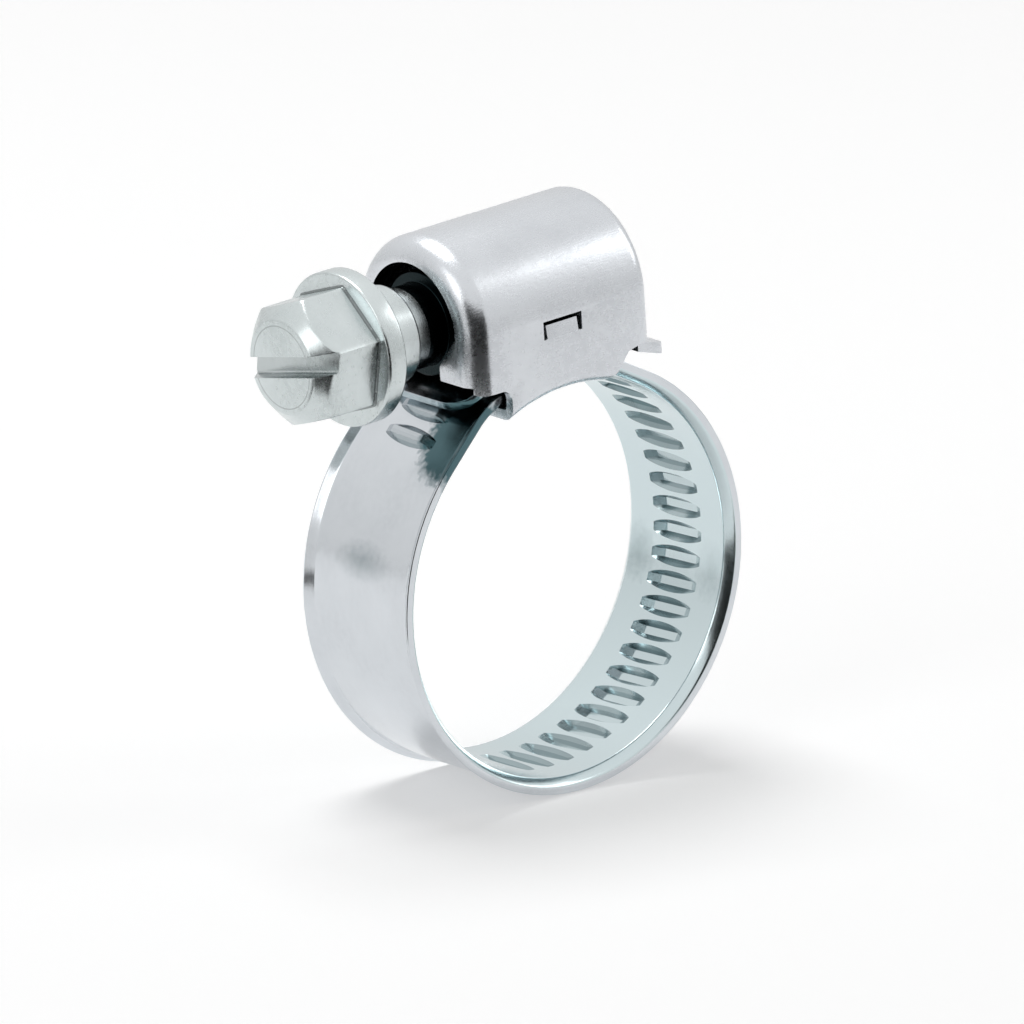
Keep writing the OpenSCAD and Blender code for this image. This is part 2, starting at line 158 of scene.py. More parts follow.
def seen_rays(tree):
    """1 for rays from the camera, from gloss or through glass, and 0 for all others."""
    path = tree.nodes.new("ShaderNodeLightPath")
    total = path.outputs["Is Camera Ray"]
    for ray in ("Is Glossy Ray", "Is Transmission Ray"):
        add = tree.nodes.new("ShaderNodeMath")
        add.operation = "MAXIMUM"
        tree.links.new(total, add.inputs[0])
        tree.links.new(path.outputs[ray], add.inputs[1])
        total = add.outputs[0]
    return total


def floor_material():
    """White paper, with a glow that only the camera and reflections see."""
    material, tree, out = node_material("white_sweep")
    paper = tree.nodes.new("ShaderNodeBsdfDiffuse")
    paper.inputs["Color"].default_value = FLOOR_WHITE
    glow = tree.nodes.new("ShaderNodeEmission")
    strength = tree.nodes.new("ShaderNodeMath")
    strength.operation = "MULTIPLY"
    away = tree.nodes.new("ShaderNodeVectorMath")
    away.operation = "LENGTH"
    coordinates = tree.nodes.new("ShaderNodeTexCoord")
    tree.links.new(coordinates.outputs["Object"], away.inputs[0])
    farther = tree.nodes.new("ShaderNodeMapRange")
    for socket, value in zip(farther.inputs[1:5], (*GLOW_FADE, NEAR_GLOW, FAR_GLOW)):
        socket.default_value = value
    tree.links.new(away.outputs["Value"], farther.inputs["Value"])
    tree.links.new(farther.outputs["Result"], strength.inputs[1])
    both = tree.nodes.new("ShaderNodeAddShader")
    tree.links.new(seen_rays(tree), strength.inputs[0])
    tree.links.new(strength.outputs[0], glow.inputs["Strength"])
    tree.links.new(paper.outputs[0], both.inputs[0])
    tree.links.new(glow.outputs[0], both.inputs[1])
    tree.links.new(both.outputs[0], out.inputs["Surface"])
    return material


half_floor = FLOOR_SIZE / 2 / MM
floor = mesh_object(
    "floor",
    [(x * half_floor, y * half_floor, 0) for x, y in ((-1, -1), (1, -1), (1, 1), (-1, 1))],
    [(0, 1, 2, 3)],
)
floor.rotation_euler = (0, LEAN, 0)
floor.location = up_there * FLOOR_Z * MM
dress(floor, floor_material())
print("floor touches the ring at", FLOOR_Z, "mm")

# %% [markdown]
# Bright metal shows the room more than its own colour. The room is a pale world, brighter
# above than at the level, and the lamps are large and soft. Photographers also set dark cards
# round metal, so that its edges and bends read against white. Ours lie and stand in an arc on
# the camera's side of the clip. Each is narrow, so that the arc keeps its distance all along.

# %% Room, lamps and cards
ROOM_LIGHT = 0.28
ROOM_TOP, ROOM_LEVEL, ROOM_RISE = 0.97, 0.80, (-0.1, 0.7)
CLIP_MIDDLE = (0, 0, 0.003)
LAMPS = {  # where it stands, its size and its power
    "lamp_top": ((0.02, 0.14, 0.45), (0.26, 0.24), 1.12),
    "lamp_left": ((-0.42, -0.10, 0.28), (0.22, 0.26), 0.24),
    "lamp_right": ((0.38, -0.20, 0.22), (0.20, 0.26), 0.22),
}
CARD_SHADE = (0.02, 0.02, 0.02, 1)
CARD_TURN, FRONT_FROM = 13, 200
CARD_HEADINGS = range(152, 276, CARD_TURN)
LYING_IN_FRONT, LYING_ASIDE, LYING_FAR = (38, 0.15), (56, 0.15), (92, 0.15)
STANDING_FOOT, STANDING_TOP = (92, 0.1), (94, 62)


def room():
    """A pale world. Rays that light the clip see less of it than the camera does."""
    world = bpy.data.worlds.new("pale_room")
    bpy.context.scene.world = world
    world.use_nodes = True
    tree = world.node_tree
    tree.nodes.clear()
    where = tree.nodes.new("ShaderNodeTexCoord")
    split = tree.nodes.new("ShaderNodeSeparateXYZ")
    height = tree.nodes.new("ShaderNodeMapRange")
    for socket, value in zip(height.inputs[1:5], (*ROOM_RISE, ROOM_LEVEL, ROOM_TOP)):
        socket.default_value = value
    pick = tree.nodes.new("ShaderNodeMix")
    pick.inputs["A"].default_value = ROOM_LIGHT
    back = tree.nodes.new("ShaderNodeBackground")
    back.inputs["Color"].default_value = (1, 1, 1, 1)
    out = tree.nodes.new("ShaderNodeOutputWorld")
    tree.links.new(where.outputs["Generated"], split.inputs[0])
    tree.links.new(split.outputs["Z"], height.inputs["Value"])
    tree.links.new(seen_rays(tree), pick.inputs["Factor"])
    tree.links.new(height.outputs["Result"], pick.inputs["B"])
    tree.links.new(pick.outputs["Result"], back.inputs["Strength"])
    tree.links.new(back.outputs[0], out.inputs["Surface"])


def soft_lamp(name, place, size, power):
    light = bpy.data.lights.new(name, "AREA")
    light.shape = "RECTANGLE"
    light.size, light.size_y = size
    light.energy = power
    lamp = bpy.data.objects.new(name, light)
    bpy.context.scene.collection.objects.link(lamp)
    lamp.location = place
    look_at(lamp, CLIP_MIDDLE)


def dark_card(name, headings, low, high):
    """A dark card that only shiny surfaces see, between two headings. low and high are its
    edges, as (distance from the clip, height above the floor) in millimetres."""
    first, second = np.radians(headings)
    corners = [
        leaned(reach * math.cos(a), reach * math.sin(a), FLOOR_Z + height)
        for (reach, height), a in ((low, first), (low, second), (high, second), (high, first))
    ]
    card = mesh_object(name, corners, [(0, 1, 2, 3)])
    material, tree, out = node_material(name)
    black = tree.nodes.new("ShaderNodeEmission")
    black.inputs["Color"].default_value = CARD_SHADE
    tree.links.new(black.outputs[0], out.inputs["Surface"])
    dress(card, material)
    card.visible_camera = card.visible_diffuse = card.visible_shadow = False
    card.visible_transmission = card.visible_volume_scatter = False


room()
for name, lamp_facts in LAMPS.items():
    soft_lamp(name, *lamp_facts)
for heading in CARD_HEADINGS:
    turn = (heading, heading + CARD_TURN)
    in_front = heading > FRONT_FROM
    near_edge = LYING_IN_FRONT if in_front else LYING_ASIDE
    dark_card(f"card_lying_{heading}", turn, near_edge, LYING_FAR)
    if in_front:
        dark_card(f"card_standing_{heading}", turn, STANDING_FOOT, STANDING_TOP)
print("lamps and cards are set")

# %% [markdown]
# Zinc plate is a metal of cool pale grey. On rolled sheet it keeps a faint grain from the
# rolls, and on a turned screw it keeps the marks of the tool. Rubbing leaves hairline
# scratches and small dull spots. One recipe makes all three finishes, in coordinates of the
# piece itself so that nothing slides: the band's are those of its flat strip. A dark colour
# comes over the metal in two ways, as ragged spots in the recipe and as a share kept on each
# face. Most of it is painted shade and painted reflection, and a little of it is real dirt.

# %% Zinc plate
CLOUDS, FLECKS, GRAIN_LINES = 260.0, 2600.0, 9000.0
MOTTLE, GRAIN_SHARE, GRAIN_ROUGH = 0.25, 0.6, (-0.3, 0.5)
# near-black colour of painted shade in hollows and inside the housing, and of real dirt
SHADE_AND_DIRT_COLOUR = (0.010, 0.018, 0.020)
INNER_FACE = (0.18, 0.22)
SPOT_EDGE = 0.25


def zinc_plate(name, colour, tint, rough, grain, bump, where="Object", inside=None, spots=(),
               shade_and_dirt_colour=SHADE_AND_DIRT_COLOUR):
    """Bright zinc. grain stretches the fine noise, so that it runs along a direction, and
    where names the coordinates. inside is the colour of a sheet's inner face. A spot is its
    centre, its stretch, the distances at which it is full and gone, and its strength."""
    material, tree, out = node_material(name)
    node, link = tree.nodes.new, tree.links.new
    metal = node("ShaderNodeBsdfPrincipled")
    metal.inputs["Metallic"].default_value = 1.0
    link(metal.outputs[0], out.inputs["Surface"])
    in_piece = node("ShaderNodeTexCoord").outputs["Object"]
    place = in_piece
    if where != "Object":
        attribute = node("ShaderNodeAttribute")
        attribute.attribute_name = where
        place = attribute.outputs["Vector"]

    def noise(scale, detail, stretch=(1, 1, 1)):
        turned = node("ShaderNodeMapping")
        turned.inputs["Scale"].default_value = [scale * s for s in stretch]
        link(place, turned.inputs["Vector"])
        texture = node("ShaderNodeTexNoise")
        texture.inputs["Scale"].default_value = 1.0
        texture.inputs["Detail"].default_value = detail
        link(turned.outputs[0], texture.inputs["Vector"])
        return texture.outputs["Fac"]

    def ranged(value, low, high, start=0.3, end=0.7):
        fit = node("ShaderNodeMapRange")
        for socket, limit in zip(fit.inputs[1:5], (start, end, low, high)):
            socket.default_value = limit
        link(value, fit.inputs["Value"])
        return fit.outputs["Result"]

    def combine(how, a, b):
        join = node("ShaderNodeMath")
        join.operation = how
        link(a, join.inputs[0])
        if isinstance(b, float):
            join.inputs[1].default_value = b
        else:
            link(b, join.inputs[1])
        return join.outputs[0]

    def vector(how, a, b=None):
        step = node("ShaderNodeVectorMath")
        step.operation = how
        link(a, step.inputs[0])
        if b is not None:
            step.inputs[1].default_value = b
        return step.outputs["Value" if how == "LENGTH" else "Vector"]

    def blend(share, under, over):
        mix = node("ShaderNodeMix")
        mix.data_type = "RGBA"
        link(share, mix.inputs["Factor"])
        link(under, mix.inputs[6])
        mix.inputs[7].default_value = (*over, 1)
        return mix.outputs[2]

    clouds = noise(CLOUDS, detail=4)
    flecks = noise(FLECKS, detail=3)
    lines = noise(GRAIN_LINES, detail=5, stretch=grain)
    shade = node("ShaderNodeMix")
    shade.data_type = "RGBA"
    shade.inputs[6].default_value = (*colour, 1)
    shade.inputs[7].default_value = (*tint, 1)
    patchy = combine("MULTIPLY", ranged(clouds, 0.0, 1.0), ranged(flecks, 0.5, 1.0))
    link(patchy, shade.inputs["Factor"])
    plate = shade.outputs[2]
    if inside:
        height = node("ShaderNodeSeparateXYZ")
        link(place, height.inputs[0])
        face_at = [h * MM for h in INNER_FACE]
        plate = blend(ranged(height.outputs["Z"], 1.0, 0.0, *face_at), plate, inside)
    # dark spots: painted reflections on the band, and real smudges inside it
    for centre, stretch, full, gone, strength in spots:
        away = vector("SUBTRACT", in_piece, [c * MM for c in centre])
        reach = vector("LENGTH", vector("MULTIPLY", away, stretch))
        ragged = combine("ADD", reach, ranged(flecks, -SPOT_EDGE * MM, SPOT_EDGE * MM))
        plate = blend(ranged(ragged, strength, 0.0, full * MM, gone * MM), plate, shade_and_dirt_colour)
    # each face's share of the dark colour: mostly painted shade, a little real dirt
    shade_and_dirt_share = node("ShaderNodeAttribute")
    shade_and_dirt_share.attribute_name = "shade_and_dirt_share"
    link(blend(shade_and_dirt_share.outputs["Fac"], plate, shade_and_dirt_colour), metal.inputs["Base Color"])
    uneven = rough * MOTTLE
    dull = combine("ADD", ranged(clouds, rough, rough + uneven), ranged(flecks, 0.0, uneven))
    dull = combine("ADD", dull, ranged(lines, *(share * uneven for share in GRAIN_ROUGH)))
    link(dull, metal.inputs["Roughness"])
    relief = combine(
        "ADD", combine("MULTIPLY", lines, GRAIN_SHARE), combine("MULTIPLY", flecks, 1 - GRAIN_SHARE)
    )
    raised = node("ShaderNodeBump")
    raised.inputs["Strength"].default_value = 1.0
    raised.inputs["Distance"].default_value = bump * MM
    link(relief, raised.inputs["Height"])
    link(raised.outputs[0], metal.inputs["Normal"])
    return material


# %% [markdown]
# Each finish has its own colour, roughness and direction of grain. The band is brighter on its
# inner face, and it has spots: a painted dark reflection on the left, a painted reflection of
# the dark housing mouth on the band under the housing, and two smudges inside.

# %% The three finishes
# painted dark reflection on the left outer face of the ring
LEFT_DARK_REFLECTION = ((-11.9, 0, 3.2), (1, 0.75, 1.5), 0.0, 1.9, 0.42)
# painted reflection of the dark mouth of the housing, on the band below it
HOUSING_MOUTH_REFLECTION = ((-7.2, -4.0, 9.9), (0.85, 0.85, 0.85), 2.0, 2.7, 0.92)
INNER_SMUDGES = (
    ((11.5, -3.1, -3.0), (1, 1.1, 0.8), 0.0, 1.7, 0.24),
    ((11.5, 3.1, -3.0), (1, 1.1, 0.8), 0.0, 1.7, 0.36),
)
housing_zinc = zinc_plate(
    "zinc_housing", colour=(0.68, 0.705, 0.735), tint=(0.58, 0.60, 0.63), rough=0.21,
    grain=(0.25, 1, 1), bump=0.010,
)
# the band's teal dark colour is used for its painted shade, painted reflections and smudges
band_zinc = zinc_plate(
    "zinc_band", colour=(0.66, 0.69, 0.72), tint=(0.60, 0.63, 0.66), rough=0.14,
    grain=(0.06, 1, 1), bump=0.003, where="strip", inside=(0.60, 0.69, 0.71),
    spots=(LEFT_DARK_REFLECTION, HOUSING_MOUTH_REFLECTION, *INNER_SMUDGES), shade_and_dirt_colour=(0.030, 0.095, 0.110),
)
screw_zinc = zinc_plate(
    "zinc_screw", colour=(0.65, 0.70, 0.705), tint=(0.54, 0.59, 0.59), rough=0.20,
    grain=(1, 0.3, 0.3), bump=0.005,
)


def darken_faces(thing, rule):
    """Gives each face its share of painted shade and dirt, by a rule of its middle in mm
    and its normal.
    """
    mesh = thing.data
    share = mesh.attributes.get("shade_and_dirt_share") or mesh.attributes.new("shade_and_dirt_share", "FLOAT", "FACE")
    for face, kept in zip(mesh.polygons, share.data):
        kept.value = rule(face.center / MM, face.normal)


print("finishes:", housing_zinc.name, band_zinc.name, screw_zinc.name)

# %% [markdown]
# ## The band
# The real band starts as a flat strip of steel. A press stamps the ribs and turns both edges
# outward, and then the strip is bent into a ring. We make it the same way. First we write
# down the route of the bent sheet, as arcs and straights, with the sizes of the CAD model.

# %% Route of the sheet
BORE_R, BAND_W, BAND_T = 11.5, 9.0, 0.55
FLAT_W, EDGE_RISE = 7.9, 0.4
SLEEVE_R, SHEET, LAY_GAP = 11.42, 0.55, 0.02
HOUSE_FRONT, HOUSE_REAR = -7.0, 6.1
RING_R = BORE_R + BAND_T / 2
HOLD_R = SLEEVE_R + SHEET + LAY_GAP + BAND_T / 2
LEVEL_Z = HOLD_R + BAND_T + LAY_GAP
STEP_R, HOLD_TURN = 4.0, math.radians(24)
RISE_R, RISE_TURN = 4.0, math.radians(30)
LEVEL_END, TAIL_R = -2.0, 10.7
step_turn = math.acos((RING_R - STEP_R) / (HOLD_R - STEP_R))
rise_len = (
    LEVEL_Z - RING_R * math.cos(RISE_TURN) - RISE_R * (1 - math.cos(RISE_TURN))
) / math.sin(RISE_TURN)
level_start = (RING_R - RISE_R) * math.sin(RISE_TURN) - rise_len * math.cos(RISE_TURN)
ROUTE = (
    (HOLD_R, HOLD_TURN),
    (STEP_R, step_turn),
    (0, (HOLD_R - STEP_R) * math.sin(step_turn)),
    (RING_R, 2 * math.pi - HOLD_TURN - step_turn - RISE_TURN),
    (0, rise_len),
    (RISE_R, RISE_TURN),
    (0, level_start - LEVEL_END),
    (TAIL_R, math.asin((LEVEL_END - HOUSE_FRONT) / TAIL_R)),
)
ROUTE_STEP = 0.1


def walk_route():
    """Points of the middle of the sheet, close together, and its whole length."""
    x, z, turn, points, length = 0.0, HOLD_R, 0.0, [], 0.0
    for radius, amount in ROUTE:
        reach = amount if radius == 0 else radius * amount
        steps = max(2, round(reach / ROUTE_STEP))
        for _ in range(steps):
            points.append((x, 0, z))
            bend = 0 if radius == 0 else amount / steps
            chord = reach / steps if radius == 0 else 2 * radius * math.sin(bend / 2)
            x -= chord * math.cos(turn + bend / 2)
            z -= chord * math.sin(turn + bend / 2)
            turn += bend
        length += reach
    return points + [(x, 0, z)], length


route_points, ROUTE_LENGTH = walk_route()
print(f"route {ROUTE_LENGTH:.2f} mm, {len(route_points)} points")

# %% [markdown]
# The section of the strip is a thin bar with turned-out edges. `strip` lays such sections
# along the flat strip, one for each station, and leaves the ends open or closes them. The
# ribs are pressed right through the sheet, so one height is added to both of its faces.
# Each rib has a flat top between two slopes shaped like a lens, and a short ramp at each end.
# Painted shade lies on the slopes, with an inner and an outer share for each column of faces.

# %% Flat strip and rib
RIM_ROUND = 0.09
EDGE_BLEND = 0.05
RIB_PITCH, RIB_H, RIB_HALF = 1.5, 0.4, 2.05
RIB_FLAT, RIB_SLOPE, RIB_END = 0.46, 0.37, 0.75
RIB_LENS, RIB_LEAST, HALFWAY_UP = 0.8, 0.01, 0.56
# painted shade on the rib slopes, as (inner face, outer face) for columns of the rib tile
RIB_SLOPE_SHADE = {
    1: (0.30, 0), 2: (0.48, 0), 3: (0.08, 0.2), 4: (0.08, 0.25), 5: (0.62, 0.45), 6: (0.45, 0.6)
}
LINES_END, LINES_FADE = 2.6, 0.45
RIB_SLANT = math.tan(math.radians(2.5))
SLANT_HALF, SLANT_END, SLANT_FADE = 3.4, 3.75, 0.3


def edge_lift(y):
    """How far the turned edge stands out at a distance y from the middle."""
    past = np.abs(y) - FLAT_W / 2
    slope = EDGE_RISE / ((BAND_W - FLAT_W) / 2)
    return slope * (past + np.sqrt(past**2 + EDGE_BLEND**2)) / 2


def section_rows():
    """Loop round the strip, as (distance across, share of the half thickness). The rows stand
    close together at the fold of the turned edge and along the ramps of the ribs."""
    half = BAND_W / 2
    ends = [half, half - 0.03, half - RIM_ROUND]
    fold = FLAT_W / 2
    flats = [fold + 0.2, fold + 0.11, fold + 0.05, fold, fold - 0.05, fold - 0.11, 3.8]
    flats += [3.4, 3.0, 2.6, 2.3, RIB_HALF + 0.06]
    ribbed = [RIB_HALF, RIB_HALF - 0.04, RIB_HALF - 0.2, RIB_HALF - 0.4, RIB_HALF - 0.58]
    ribbed += [RIB_HALF - RIB_END, 1.0, 0.7, 0.35, 0]
    right = [(y, 1.0) for y in flats + ribbed]
    top = right + [(-y, h) for y, h in right[-2::-1]]
    rim = [(-ends[2], 1.0), (-ends[1], 0.86), (-ends[0], 0.62), (-ends[0], -0.62)]
    rim += [(-ends[1], -0.86), (-ends[2], -1.0)]
    bottom = [(y, -1.0) for y, _ in reversed(top)]
    other = [(-y, -h) for y, h in rim]
    return top + rim + bottom + other


ROWS = section_rows()
row_y = np.array([y for y, _ in ROWS])
row_h = np.array([h for _, h in ROWS]) * BAND_T / 2
slant = -RIB_SLANT * np.clip(row_y, -SLANT_HALF, SLANT_HALF)
slant *= np.clip((SLANT_END - np.abs(row_y)) / SLANT_FADE, 0, 1)


def strip(name, stations, width=None, ribs=None, slanted=(1, 1), close=(False, False)):
    """A closed tube of sections. stations[k] may be one number or one for each row.
    slanted is how much of the ribs' slant the first and the last section take."""
    count, points = len(ROWS), []
    for k, station in enumerate(stations):
        y = row_y * (1.0 if width is None else width[k])
        rise = np.zeros(count) if ribs is None else ribs[k]
        share = np.interp(k, [0, len(stations) - 1], slanted)
        points.append(np.stack([station + slant * share, y, row_h + edge_lift(y) + rise], 1))
    faces = []
    for k in range(len(stations) - 1):
        for i in range(count):
            j = (i + 1) % count
            here, there = k * count, (k + 1) * count
            faces.append((here + i, here + j, there + j, there + i))
    last = (len(stations) - 1) * count
    if close[0]:
        faces.append(tuple(range(count))[::-1])
    if close[1]:
        faces.append(tuple(last + i for i in range(count)))
    return mesh_object(name, np.concatenate(points), faces)


def rib_tile():
    """One pitch of ribbed strip. Its lines follow the two slopes and the flat between them,
    and run straight across the strip beyond the rib."""
    y = np.abs(row_y)
    lens = RIB_SLOPE * np.clip(1 - (y / RIB_HALF) ** 2, 0, 1) ** RIB_LENS + RIB_LEAST
    height = RIB_H * np.clip((RIB_HALF - y) / RIB_END, 0, 1)
    near_rib = np.clip((LINES_END - y) / LINES_FADE, 0, 1)
    half, flat = RIB_PITCH / 2, RIB_FLAT / 2
    slope = [(-flat - lens, 0), (-flat - lens / 2, HALFWAY_UP), (-flat + 0 * y, 1)]
    lines = [(-half + 0 * y, 0), *slope, (0 * y, 1)]
    lines += [(-line, share) for line, share in reversed(slope)] + [(half + 0 * y, 0)]
    even = np.linspace(-half, half, len(lines))
    stations = [near_rib * line + (1 - near_rib) * e for (line, _), e in zip(lines, even)]
    tile = strip("rib_tile", stations, ribs=[height * share for _, share in lines])
    # painted shade on the slopes of the rib
    shade_and_dirt_share = tile.data.attributes.new("shade_and_dirt_share", "FLOAT", "FACE")
    for k, (inner, outer) in RIB_SLOPE_SHADE.items():
        for i, (across, up) in enumerate(zip(row_y, row_h)):
            if abs(across + row_y[(i + 1) % len(ROWS)]) / 2 < RIB_HALF:
                shade_and_dirt_share.data[k * len(ROWS) + i].value = outer if up > 0 else inner
    return tile


# %% [markdown]
# The strip is ready when ribbed tiles and plain stretches lie in one row. Geometry Nodes
# repeat the tile along the strip, merge the joints, and then bend the whole strip: each
# point goes to the route at its own distance, and keeps its height above the sheet's middle.

# %% Plain stretches
TAIL_PLAIN, RIB_COUNT = 3.2, 30
FIXED_PLAIN, FIXED_PITCH, FIXED_RIBS = 6.5, 1.75, 2
TIP_HALF, TIP_ROUND, TIP_STEPS = 2.3, 2.2, 9
PLAIN_STEP, SHORT_STEP = 0.2, 0.1


def evenly(start, end, step=PLAIN_STEP):
    """Stations from start to end, about a step apart."""
    return list(np.linspace(start, end, max(2, round((end - start) / step) + 1)))


first_rib = ROUTE_LENGTH - TAIL_PLAIN - (RIB_COUNT - 1) * RIB_PITCH
ribs_from, ribs_to = first_rib - RIB_PITCH / 2, ROUTE_LENGTH - TAIL_PLAIN + RIB_PITCH / 2
fixed_from, fixed_next = FIXED_PLAIN - RIB_PITCH / 2, FIXED_PLAIN + FIXED_PITCH - RIB_PITCH / 2
tip_angles = np.linspace(0, math.pi / 2, TIP_STEPS)
tip_ds = TIP_ROUND * (1 - np.cos(tip_angles))
tip_widths = (TIP_HALF + TIP_ROUND * np.sin(tip_angles)) / (BAND_W / 2)
tip_stations = list(ROUTE_LENGTH - tip_ds[::-1])
tail_stations = evenly(ribs_to, tip_stations[0])[:-1] + tip_stations
tail_widths = [1.0] * (len(tail_stations) - TIP_STEPS) + list(tip_widths[::-1])
plain_parts = [
    strip("plain_start", evenly(0, fixed_from), slanted=(0, 1), close=(True, False)),
    strip("plain_gap", evenly(fixed_from + RIB_PITCH, fixed_next, SHORT_STEP)),
    strip("plain_ring", evenly(fixed_next + RIB_PITCH, ribs_from)),
    strip("plain_tip", tail_stations, tail_widths, slanted=(1, 0), close=(False, True)),
]
print(f"ribs from {ribs_from:.2f} to {ribs_to:.2f} mm of {ROUTE_LENGTH:.2f} mm")

# %% [markdown]
# A tree of nodes is easier to read when each node is made in one line. `Tree` wraps a node
# group: `add` makes a node, sets its options and links its inputs, and `size` makes a named
# input of the group with its value. Both trees of this scene, the band's and the worm's,
# are made with it.

# %% Helper for node trees
class Tree:
    def __init__(self, name):
        self.group = bpy.data.node_groups.new(name, "GeometryNodeTree")
        self.values = {}
        for way in ("INPUT", "OUTPUT"):
            self.group.interface.new_socket(
                "Geometry", in_out=way, socket_type="NodeSocketGeometry"
            )
        self.start = self.group.nodes.new("NodeGroupInput")
        self.end = self.group.nodes.new("NodeGroupOutput")

    def size(self, name, value, kind="NodeSocketFloat"):
        """A named input of the tree, with the value that the modifier is to give it."""
        socket = self.group.interface.new_socket(name, in_out="INPUT", socket_type=kind)
        self.values[socket.identifier] = value
        return self.start.outputs[name]

    def add(self, kind, inputs=None, **options):
        """A node with its options set. Each input is linked to a socket or takes a value."""
        node = self.group.nodes.new(kind)
        for name, value in options.items():
            setattr(node, name, value)
        for key, value in (inputs or {}).items():
            if isinstance(value, bpy.types.NodeSocket):
                self.group.links.new(value, node.inputs[key])
            else:
                node.inputs[key].default_value = value
        return node

    def math(self, how, a, b=0.0, c=0.0):
        return self.add("ShaderNodeMath", {0: a, 1: b, 2: c}, operation=how).outputs[0]

    def vector(self, how, a, b=None, scale=None):
        inputs = {0: a}
        if b is not None:
            inputs[1] = b
        if scale is not None:
            inputs["Scale"] = scale
        return self.add("ShaderNodeVectorMath", inputs, operation=how).outputs["Vector"]

    def merge(self, *geometry):
        node = self.add("GeometryNodeJoinGeometry")
        for part in geometry:
            self.group.links.new(part, node.inputs[0])
        return node.outputs[0]

    def finish(self, geometry):
        self.group.links.new(geometry, self.end.inputs[0])

    def run(self, thing, name, material):
        """Runs the tree on an object, and keeps the result as a plain mesh."""
        modifier = thing.modifiers.new(name, "NODES")
        modifier.node_group = self.group
        for identifier, value in self.values.items():
            modifier[identifier] = value
        mesh = modified_mesh(thing)
        thing.modifiers.remove(modifier)
        thing.data = mesh
        thing.name = mesh.name = name
        dress(thing, material)
        return thing


# %% [markdown]
# Now the strip is stamped and bent. The route becomes a curve, and the tree samples it at the
# distance of each point along the strip. It stores the flat place of each point first, so that
# the grain of the zinc follows the strip round its bends.

# %% Bend the strip
ACROSS = (0.0, 1.0, 0.0)
JOINT_REACH = 2e-6
route_curve = bpy.data.curves.new("route", "CURVE")
route_curve.dimensions = "3D"
spline = route_curve.splines.new("POLY")
spline.points.add(len(route_points) - 1)
for point, place in zip(spline.points, route_points):
    point.co = (*(v * MM for v in place), 1)
route = bpy.data.objects.new("route", route_curve)
bpy.context.scene.collection.objects.link(route)


def band_tree(tile):
    tree = Tree("stamp and bend")
    tile_in = tree.size("Rib tile", tile, "NodeSocketObject")
    route_in = tree.size("Route", route, "NodeSocketObject")
    rows = []
    for label, count, first, pitch in (
        ("Tail", RIB_COUNT, first_rib, RIB_PITCH),
        ("Fixed", FIXED_RIBS, FIXED_PLAIN, FIXED_PITCH),
    ):
        many = tree.size(label + " ribs", count, "NodeSocketInt")
        start = tree.size(label + " first rib", first * MM)
        step = tree.size(label + " pitch", pitch * MM)
        at = tree.add("ShaderNodeCombineXYZ", {"X": start}).outputs[0]
        by = tree.add("ShaderNodeCombineXYZ", {"X": step}).outputs[0]
        line = tree.add("GeometryNodeMeshLine", {"Count": many, "Start Location": at, "Offset": by})
        shape = tree.add("GeometryNodeObjectInfo", {"Object": tile_in}).outputs["Geometry"]
        on = tree.add(
            "GeometryNodeInstanceOnPoints", {"Points": line.outputs[0], "Instance": shape}
        )
        rows.append(tree.add("GeometryNodeRealizeInstances", {0: on.outputs[0]}).outputs[0])
    flat = tree.merge(tree.start.outputs[0], *rows)
    flat = tree.add("GeometryNodeMergeByDistance", {"Geometry": flat, "Distance": JOINT_REACH})
    place = tree.add("GeometryNodeInputPosition").outputs[0]
    flat = tree.add(
        "GeometryNodeStoreNamedAttribute",
        {"Geometry": flat.outputs[0], "Name": "strip", "Value": place},
        data_type="FLOAT_VECTOR", domain="POINT",
    ).outputs[0]
    parts = tree.add("ShaderNodeSeparateXYZ", {0: place}).outputs
    curve = tree.add("GeometryNodeObjectInfo", {"Object": route_in}).outputs["Geometry"]
    sample = tree.add(
        "GeometryNodeSampleCurve", {"Curves": curve, "Length": parts["X"]}, mode="LENGTH"
    )
    out = tree.vector("CROSS_PRODUCT", ACROSS, sample.outputs["Tangent"])
    out = tree.vector("NORMALIZE", out)
    height = tree.vector("SCALE", out, scale=parts["Z"])
    aside = tree.vector("SCALE", ACROSS, scale=parts["Y"])
    bent = tree.vector("ADD", tree.vector("ADD", sample.outputs["Position"], height), aside)
    ring = tree.add("GeometryNodeSetPosition", {"Geometry": flat, "Position": bent})
    tree.finish(ring.outputs[0])
    return tree


def join_objects(name, parts):
    """One object from several, made by copying their meshes into one."""
    whole = bmesh.new()
    for part in parts:
        whole.from_mesh(part.data)
        bpy.data.objects.remove(part)
    mesh = bpy.data.meshes.new(name)
    whole.to_mesh(mesh)
    whole.free()
    made = bpy.data.objects.new(name, mesh)
    bpy.context.scene.collection.objects.link(made)
    return made


def smooth(thing, angle):
    """Smooth shading, with edges sharper than the angle kept crisp."""
    thing.data.polygons.foreach_set("use_smooth", [True] * len(thing.data.polygons))
    thing.data.set_sharp_from_angle(angle=math.radians(angle))


def face_out(thing):
    """Turns all faces outward, and says whether the mesh is closed."""
    shape = bmesh.new()
    shape.from_mesh(thing.data)
    bmesh.ops.recalc_face_normals(shape, faces=shape.faces)
    if shape.calc_volume(signed=True) < 0:
        bmesh.ops.reverse_faces(shape, faces=shape.faces)
    loose = sum(1 for e in shape.edges if not e.is_manifold)
    print(f"{thing.name}: {len(shape.faces)} faces, {loose} open edges, "
          f"{shape.calc_volume() * 1e9:.1f} mm3")
    shape.to_mesh(thing.data)
    shape.free()


tile = rib_tile()
band = join_objects("band_strip", plain_parts)
band = band_tree(tile).run(band, "zinc_band_sheet", band_zinc)
bpy.data.objects.remove(tile)
bpy.data.objects.remove(route)
face_out(band)
smooth(band, angle=24)

# %% [markdown]
# The ribs higher up the right side of the ring, near the worm, get more painted shade, and those
# lower down less. Only faces that have some painted shade already, which are the slopes of
# ribs, get more.

